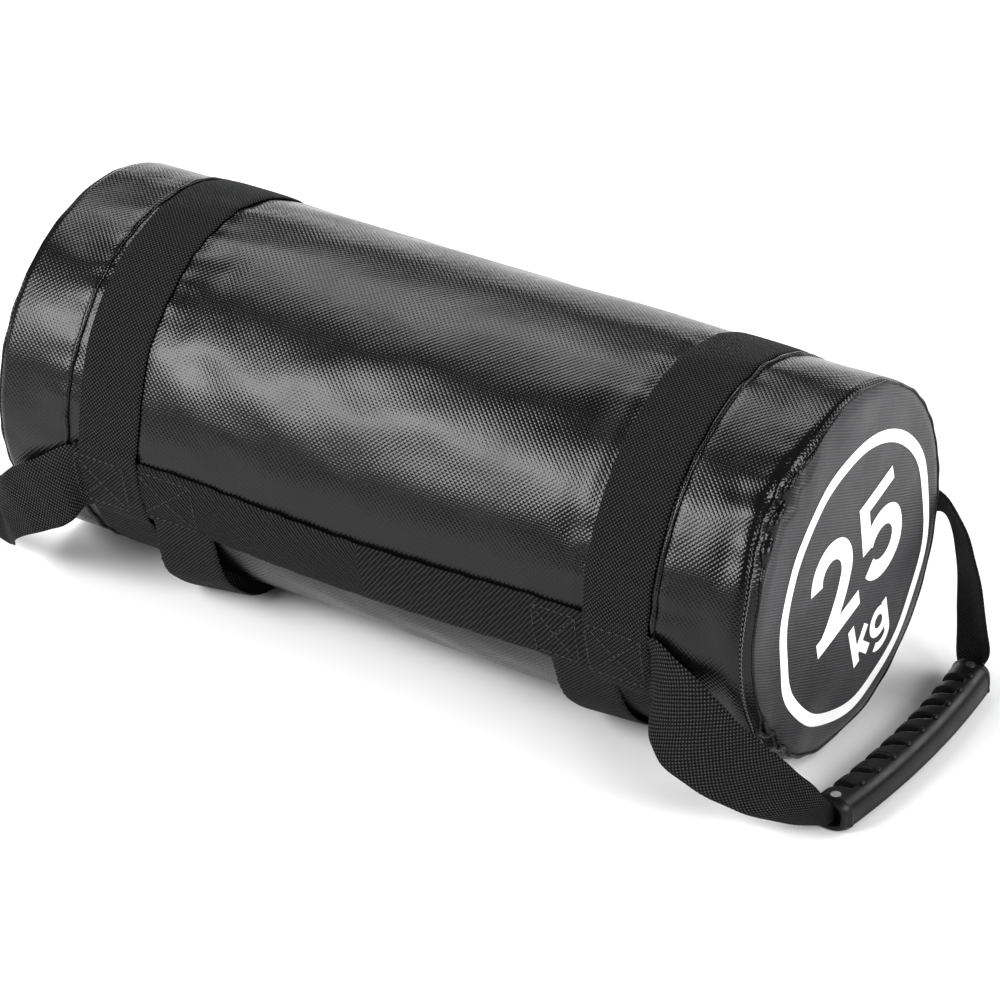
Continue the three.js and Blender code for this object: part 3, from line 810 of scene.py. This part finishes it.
def stitches(name, runs):
    """Rows of thread. Each run is a list of points on the cloth and the way out of it there."""
    long, gap, thick = 3.0 * MM, 1.4 * MM, 0.32 * MM
    mesh = bmesh.new()
    for points, outward in runs:
        step = np.linalg.norm(np.diff(points, axis=0), axis=1)
        reached = np.concatenate([[0], np.cumsum(step)])
        count = int(reached[-1] / (long + gap))
        for i in range(count):
            ends = (i * (long + gap) + gap / 2, i * (long + gap) + gap / 2 + long)
            a, b = (np.array([np.interp(e, reached, points[:, k]) for k in range(3)]) for e in ends)
            up = np.array([np.interp(sum(ends) / 2, reached, outward[:, k]) for k in range(3)])
            along = unit(b - a)
            aside = unit(np.cross(up, along))
            rings = []
            for share, size in ((0.12, 0.7), (0.5, 1.0), (0.88, 0.7)):
                centre = a * (1 - share) + b * share + up * thick * 0.35
                rings.append([
                    mesh.verts.new(centre + size * thick * (aside * math.cos(t) + up * math.sin(t)))
                    for t in np.linspace(0, 2 * math.pi, 6, endpoint=False)
                ])
            tips = mesh.verts.new(a - up * thick * 0.6), mesh.verts.new(b - up * thick * 0.6)
            for k in range(6):
                n = (k + 1) % 6
                mesh.faces.new((tips[0], rings[0][n], rings[0][k]))
                mesh.faces.new((tips[1], rings[2][k], rings[2][n]))
                for low, high in ((0, 1), (1, 2)):
                    mesh.faces.new((rings[low][k], rings[low][n], rings[high][n], rings[high][k]))
    made = bpy.data.meshes.new(name)
    mesh.to_mesh(made)
    mesh.free()
    ride_on(finish_mesh(name, made, THREAD), "bag", "webbing")


def strap_run(side, start, end, proud):
    """A stitch line on a side strap between two (x, height in degrees) places."""
    t = np.linspace(0, 1, 40)
    x = start[0] * (1 - t) + end[0] * t
    heights = np.radians(start[1] * (1 - t) + end[1] * t)
    angle = math.pi - heights if side < 0 else heights
    radius = RADIUS + CLOTH_GAP + THICK + 0.3 * (skin_radius(x, angle) - RADIUS) + proud
    points = at(x, angle, radius)
    outward = np.stack([0 * x, np.cos(angle), np.sin(angle)], -1)
    return points, outward


def crossed_box(side, x0, x1, proud):
    """A sewn box with a cross in it."""
    top, low = -3.6, -20.4
    a, b, c, d = (x0, top), (x1, top), (x1, low), (x0, low)
    corners = ((a, b), (b, c), (c, d), (d, a), (a, c), (b, d))
    return [strap_run(side, start, end, proud) for start, end in corners]


# Each end's two boxes: one beside the band and one on it, by their ends along the bag.
SEWN_BOXES = {"label": ((0.118, 0.146), (0.154, 0.189)), "zip": ((-0.153, -0.113), (-0.195, -0.160))}


def sew_straps():
    for place, side in SIDES:
        for end, (beside, on_band) in SEWN_BOXES.items():
            runs = crossed_box(side, *beside, 0) + crossed_box(side, *on_band, OVERLAP)
            stitches(f"{place}_{end}_stitches", runs)


# --- End handles ------------------------------------------------------------------------------------

# A leg of a webbing loop, from under the band to inside the grip: its upper and lower edges in
# millimetres, as distances along the bag, away from its middle plane, and above the floor.
LABEL_FRONT_LEG = (
    [
        (188, 110.9, 104), (199, 112.6, 105), (211, 113.4, 98), (225, 113.8, 90), (239, 113.6, 80),
        (252, 112.6, 70), (264, 110.4, 61), (275, 106.5, 52), (284, 101, 42), (291, 94, 31),
        (294.5, 87, 20), (294, 78, 15),
    ],
    [
        (188, 102.3, 64), (194, 106.5, 60), (196, 114.4, 53), (201, 121, 45), (211, 126, 37),
        (227, 127, 30), (244, 124.8, 24), (259, 119.5, 18.5), (274, 110, 13), (286, 98.5, 8.5),
        (293.5, 88.5, 6), (295, 78, 5),
    ],
)
LABEL_BACK_LEG = (
    [
        (188, 110.9, 104), (200, 112.8, 105), (213, 113.6, 106.5), (226, 113.8, 107.5), (240, 113.5, 107),
        (253, 112.8, 103.5), (264, 112, 93.5), (273, 110, 81), (282, 104, 68.5), (291, 96, 54),
        (298, 89, 38), (301.5, 86, 24), (295, 78, 15),
    ],
    [
        (188, 102.3, 64), (196, 106.5, 61), (202, 114, 61), (211, 120, 65), (224, 124, 72), (238, 126, 79),
        (249, 125.5, 83), (255.5, 125, 71), (259, 124, 57), (264, 117.5, 41), (268, 111, 24), (276, 98, 8),
        (288, 88, 5), (295, 78, 5),
    ],
)
# The zip end's loop lies closer to the bag's corner.
ZIP_LEG = (
    [
        (188, 110.9, 104), (199, 112.6, 104), (211, 113.2, 97), (223, 113.4, 88), (236, 113.2, 80),
        (247, 112.4, 71), (255, 110.5, 59), (259, 106, 46), (261, 99, 34), (266, 92, 25), (277, 87.5, 20),
        (288, 83, 17), (292, 78, 15),
    ],
    [
        (188, 102.3, 64), (195, 105.5, 60), (198, 111.5, 54), (205, 113.6, 48), (216, 114.6, 42),
        (229, 114.4, 35), (240, 112.5, 28), (248, 107.5, 20), (253, 101, 13), (259, 94.5, 8), (269, 89, 5),
        (282, 85, 4.2), (292, 78, 5),
    ],
)


LEG_STATIONS = 96


def leg_surface(edges, end, side):
    """The middle surface of a leg: a ruled strip, cupped a little where it folds to enter the grip."""
    upper, lower = (curve(edge, LEG_STATIONS) * MM for edge in edges)
    share = np.linspace(0, 1, 25)[None, :, None]
    surface = upper[:, None] * (1 - share) + lower[:, None] * share
    along = np.linspace(0, 1, LEG_STATIONS)[:, None]
    cup = np.sin(np.pi * share[..., 0])
    surface[..., 1] += cup * 4.5 * MM * bump(0.86, 0.05, 0.18, along)
    surface[..., 1] += cup * 1.2 * MM * bump(0.4, 0.1, 0.3, along)
    surface[..., 1] += 0.35 * MM * np.sin(along * 46 + share[..., 0] * 3) * smoothstep(0.15, 0.3, along)
    return surface * np.array([end, side, 1])


def end_handle(place, end):
    """Both legs of one loop, each bending from where it is sewn down to the loop that swings."""
    for name, side in SIDES:
        label_edges = LABEL_FRONT_LEG if side < 0 else LABEL_BACK_LEG
        surface = leg_surface(label_edges if end > 0 else ZIP_LEG, end, side)
        outward = 1 if (side < 0) == (end > 0) else -1
        piece = webbing(f"{place}_loop_{name}_leg", surface, HANDLE_WEB, side=-outward)
        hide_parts(place + "_handle_webbing")
        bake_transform(piece)


def grip_section(count):
    """Closed outline of the grip, flatter underneath: offsets from its axis and its height."""
    t = np.linspace(0, 2 * math.pi, count, endpoint=False)
    c, s = np.cos(t), np.sin(t)
    x = GRIP_WIDTH / 2 * np.sign(c) * np.abs(c) ** 0.72
    z = GRIP_HEIGHT / 2 * np.sign(s) * np.abs(s) ** np.where(s > 0, 0.85, 0.6)
    return x, z


def grip_bow(y):
    """How far the grip bends away from the bag, against its straight axis."""
    return 1.6 * MM - 5.6 * MM * (y / GRIP_HALF) ** 2


def pocket_depth(x, y):
    """Slanted crescent pockets from the grip's inner edge to its middle; x and y are from its centre."""
    depth = 0
    for i in range(GRIP_CELLS):
        middle = (i - (GRIP_CELLS - 1) / 2) * CELL_PITCH
        slant = (13 - 9 * (middle / GRIP_HALF) ** 2) * MM
        t = np.clip((x + 0.0125) / 0.0150, 0, 1)
        centre = middle - 5.0 * MM + slant * t - 4.5 * MM * t * t
        half = (5.0 - 2.6 * t) * MM
        inside = 1 - smoothstep(half - 1.5 * MM, half + 0.7 * MM, np.abs(y - centre))
        depth = np.maximum(depth, inside * (1 - smoothstep(1.2 * MM, 3.4 * MM, x)))
    return depth


def grip_body(place, end):
    """A bowed bar with pockets along its inner top edge, a seam line low down and a mouth at each end."""
    around, along = 112, 300
    outline_x, outline_z = grip_section(around)
    t = np.linspace(-1, 1, along)[:, None]
    y = t * GRIP_HALF
    ends = smoothstep(0.93, 1.0, np.abs(t))
    size = 1 - 0.10 * ends + 0.05 * bump(0.955, 0.012, 0.012, np.abs(t))
    x = outline_x[None, :] * size
    z = outline_z[None, :] * size
    upward = np.clip(outline_z / (GRIP_HEIGHT / 2), 0, 1)[None, :] ** 0.6
    depth = pocket_depth(outline_x[None, :], y) * upward * (1 - smoothstep(0.86, 0.9, np.abs(t)))
    z = z - POCKET_DEPTH * depth
    x = x + 1.4 * MM * depth
    height = outline_z + GRIP_HEIGHT / 2
    seam_line = np.exp(-((height - GRIP_SEAM_HEIGHT) / (1.0 * MM)) ** 2) * np.sign(outline_x)
    x = x + 0.7 * MM * (seam_line * (np.abs(outline_x) > 6 * MM))[None, :]
    points = np.stack([
        end * (GRIP_X + grip_bow(y) + x),
        end * y + 0 * x,
        GRIP_HEIGHT / 2 + z + 0 * y,
    ], -1)
    mouth = points[[0, -1]].copy()
    centres = mouth.mean(1, keepdims=True)
    inner = centres + (mouth - centres) * 0.72
    deep = inner + np.array([[[0, end * 5 * MM, 0]], [[0, -end * 5 * MM, 0]]])
    closed = centres + (mouth - centres) * 0.02 + (deep - inner)
    rows = [closed[:1], deep[:1], inner[:1], points, inner[1:], deep[1:], closed[1:]]
    points = np.concatenate(rows, 0)
    lengths = np.linspace(-GRIP_HALF, GRIP_HALF, len(points))
    cloth = np.stack(np.meshgrid(lengths, np.linspace(0, 0.07, around + 1), indexing="ij"), -1)
    piece = grid(place + "_grip", points, cloth, RUBBER, wrap_columns=True, flip=True)
    ride_on(piece, place + "_handle", "grip_rubber", place + "_handle_grip")


def grip_studs(place, end):
    """A small dome beside each pocket."""
    mesh = bmesh.new()
    for i in range(GRIP_CELLS):
        y = (i - (GRIP_CELLS - 1) / 2) * CELL_PITCH + 3.5 * MM
        made = bmesh.ops.create_uvsphere(mesh, u_segments=16, v_segments=10, radius=STUD_RADIUS)
        place_at = Vector((end * (GRIP_X + grip_bow(y) + 4.8 * MM), end * y, GRIP_HEIGHT - 0.3 * MM))
        bmesh.ops.translate(mesh, verts=made["verts"], vec=place_at)
    made = bpy.data.meshes.new(place + "_grip_studs")
    mesh.to_mesh(made)
    mesh.free()
    piece = finish_mesh(place + "_grip_studs", made, RUBBER)
    ride_on(piece, place + "_handle", "grip_rubber")


# --- CAD nodes that stay ----------------------------------------------------------------------------

def dress(material, *nodes, edge=0.0):
    """Gives carried-over CAD nodes a material, and rounds their edges where edge is given."""
    for name in nodes:
        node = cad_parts[name]
        node.data.materials.clear()
        node.data.materials.append(material)
        if edge:
            made = node.modifiers.new("rounded", "BEVEL")
            made.width = edge
            made.segments = 2
            made.limit_method = "ANGLE"


def padding(felt):
    """The quilted wrap and end pads inside the sleeves, which follow the sleeves' soft shape."""
    angle = round_steps(3)[None, :]

    def ring(x, under):
        """Points all round, a given depth in millimetres under the tarpaulin's outer face."""
        return on_skin(np.atleast_2d(x), angle, -under * MM, SKIN_FLOOR + under * MM)

    wrap = ring(np.linspace(-WRAP_END, WRAP_END, 80)[:, None], 2.6)
    rows = [ring(-WRAP_END, 8.5), wrap, ring(WRAP_END, 8.5)]
    pieces = {"padding_felt": (np.concatenate(rows, 0), "padding_wrap")}
    for place, end in ENDS:
        rows = [ring(end * PAD_INNER, under) for under in (95, 40, 9, 7)]
        rows += [ring(end * PAD_OUTER, under) for under in (9, 40, 95)]
        pieces[place + "_pad_felt"] = (np.concatenate(rows, 0), place + "_end_pad")
    for name, (points, node) in pieces.items():
        rows, columns = points.shape[:2]
        lengths = np.arange(rows) * 5 * MM, np.arange(columns + 1) * 5 * MM
        cloth = np.stack(np.meshgrid(*lengths, indexing="ij"), -1)
        piece = grid(name, points, cloth, felt, wrap_columns=True)
        ride_on(piece, "bag", "felt", node)


def dress_cad():
    tape = carried("zip_tape", grey(0.006), grey(0.016), 0.75, 90, 0.2 * MM, pitch=1.2 * MM)
    teeth = carried("zip_teeth", grey(0.012), grey(0.03), 0.38, 160, 0.05 * MM)
    felt = carried("felt", grey(0.10), grey(0.24), 0.92, 220, 0.8 * MM)
    film = carried("liner_film", (0.42, 0.44, 0.40), (0.58, 0.60, 0.55), 0.42, 40, 0.5 * MM)
    nylon = carried("nylon", (0.6, 0.58, 0.52), (0.78, 0.76, 0.70), 0.45, 120, 0.05 * MM)
    sand = carried("sand", (0.30, 0.20, 0.09), (0.62, 0.46, 0.25), 0.95, 900, 0.6 * MM)
    dress(tape, "zip_tape_upper", "zip_tape_lower")
    dress(teeth, "zip_teeth_upper", "zip_teeth_lower")
    dress(STEEL, "zip_stop_front", "zip_stop_back", "zip_slider", "zip_pull", edge=0.25 * MM)
    for place, _ in ENDS:
        dress(STEEL, place + "_grip_rivet_front", place + "_grip_rivet_back", edge=0.3 * MM)
    padding(felt)
    dress(film, "liner_bag")
    dress(nylon, "liner_tie")
    dress(sand, "sand_fill")


# --- Studio -----------------------------------------------------------------------------------------

BAG_CENTRE = Vector((0, 0, AXIS))
FLOOR_HALF = 9.0
AMBIENT = 0.16
EXPOSURE = 0.33
GAMMA = 0.82

# Each light's direction from the bag, distance, width, height and brightness seen from the bag
SOFTBOXES = {
    "front_softbox": ((-0.475, -0.712, 0.50), 2.3, 1.6, 1.25, 10.0),
    "overhead_softbox": ((-0.475, 0.31, 0.81), 2.3, 1.6, 1.0, 5.0),
    "back_panel": ((-0.475, 0.871, 0.10), 2.8, 2.6, 0.45, 2.6),
    "cap_softbox": ((0.86, -0.28, 0.42), 2.6, 1.6, 1.2, 8.0),
    "rear_softbox": ((0.50, 0.70, 0.50), 2.6, 1.9, 1.0, 4.5),
}

# The photograph's view, from a perspective fit of the barrel's outlines and its cap
CAMERA_PLACE = Vector((1.2927, -1.9765, 1.4630))
CAMERA_AIM = Vector((0.0267, -0.0009, 0.0832))
CAMERA_LENS = 169.85


def floor():
    s = Shader("studio_floor", roughness=0.6, specular=0.2)
    s.set("Base Color", s.ramp(s.noise(3, 2), (0.3, grey(0.86)), (0.7, grey(0.89))))
    mesh = bpy.data.meshes.new("studio_floor")
    corners = [(-FLOOR_HALF, -FLOOR_HALF, 0), (FLOOR_HALF, -FLOOR_HALF, 0)]
    corners += [(-x, -y, 0) for x, y, _ in corners]
    mesh.from_pydata(corners, [], [(0, 1, 2, 3)])
    finish_mesh("studio_floor", mesh, s.material, smooth=False)


def softbox(name, direction, distance, wide, high, radiance):
    """An area light that faces the bag, of a given brightness seen from it."""
    light = bpy.data.lights.new(name, "AREA")
    light.shape = "RECTANGLE"
    light.size = wide
    light.size_y = high
    light.energy = radiance * wide * high * math.pi
    lamp = bpy.data.objects.new(name, light)
    away = Vector(direction).normalized()
    lamp.location = BAG_CENTRE + away * distance
    lamp.rotation_euler = away.to_track_quat("Z", "Y").to_euler()
    lamp.visible_camera = False
    bpy.context.scene.collection.objects.link(lamp)


def studio():
    floor()
    world = bpy.data.worlds.new("studio")
    world.use_nodes = True
    background = world.node_tree.nodes["Background"]
    background.inputs["Color"].default_value = (1, 1, 1, 1)
    background.inputs["Strength"].default_value = AMBIENT
    bpy.context.scene.world = world
    view = bpy.context.scene.view_settings
    view.view_transform = "Standard"
    view.exposure = EXPOSURE
    view.gamma = GAMMA
    for name, settings in SOFTBOXES.items():
        softbox(name, *settings)


def camera():
    data = bpy.data.cameras.new("camera")
    data.lens = CAMERA_LENS
    data.sensor_width = 36
    data.clip_end = 50
    made = bpy.data.objects.new("camera", data)
    made.location = CAMERA_PLACE
    aim = CAMERA_AIM - CAMERA_PLACE
    made.rotation_euler = aim.to_track_quat("-Z", "Y").to_euler()
    bpy.context.scene.collection.objects.link(made)
    bpy.context.scene.camera = made


build_sleeves()
welt("zip_end_fold", ZIP_WELT, "zip_end_welt")
welt("label_end_fold", LABEL_WELT, "label_end_welt")
label_cap()
zip_cap("zip_cap_upper_cloth", 1, "zip_end_cap_upper")
zip_cap("zip_cap_lower_cloth", -1, "zip_end_cap_lower")
cap_seam("label_cap_roll", 1, "label_cap_seam")
cap_seam("zip_cap_roll", -1, "zip_cap_seam")
print_mark()
band("zip_band", ZIP_BAND, drift=6.5 * MM, low_at=-15, reach=110, seed=51, node="zip_end_band")
band("label_band", LABEL_BAND, drift=7 * MM, low_at=-58, reach=62, seed=61, node="label_end_band")
build_side_straps()
cross_strap("zip_cross", ZIP_CROSS, drift=7 * MM, proud=10 * MM, node="zip_end_cross_strap")
cross_strap("label_cross", LABEL_CROSS, drift=9 * MM, proud=4.5 * MM, node="label_end_cross_strap")
sew_straps()
for place, end in ENDS:
    end_handle(place, end)
    grip_body(place, end)
    grip_studs(place, end)
dress_cad()
studio()
camera()
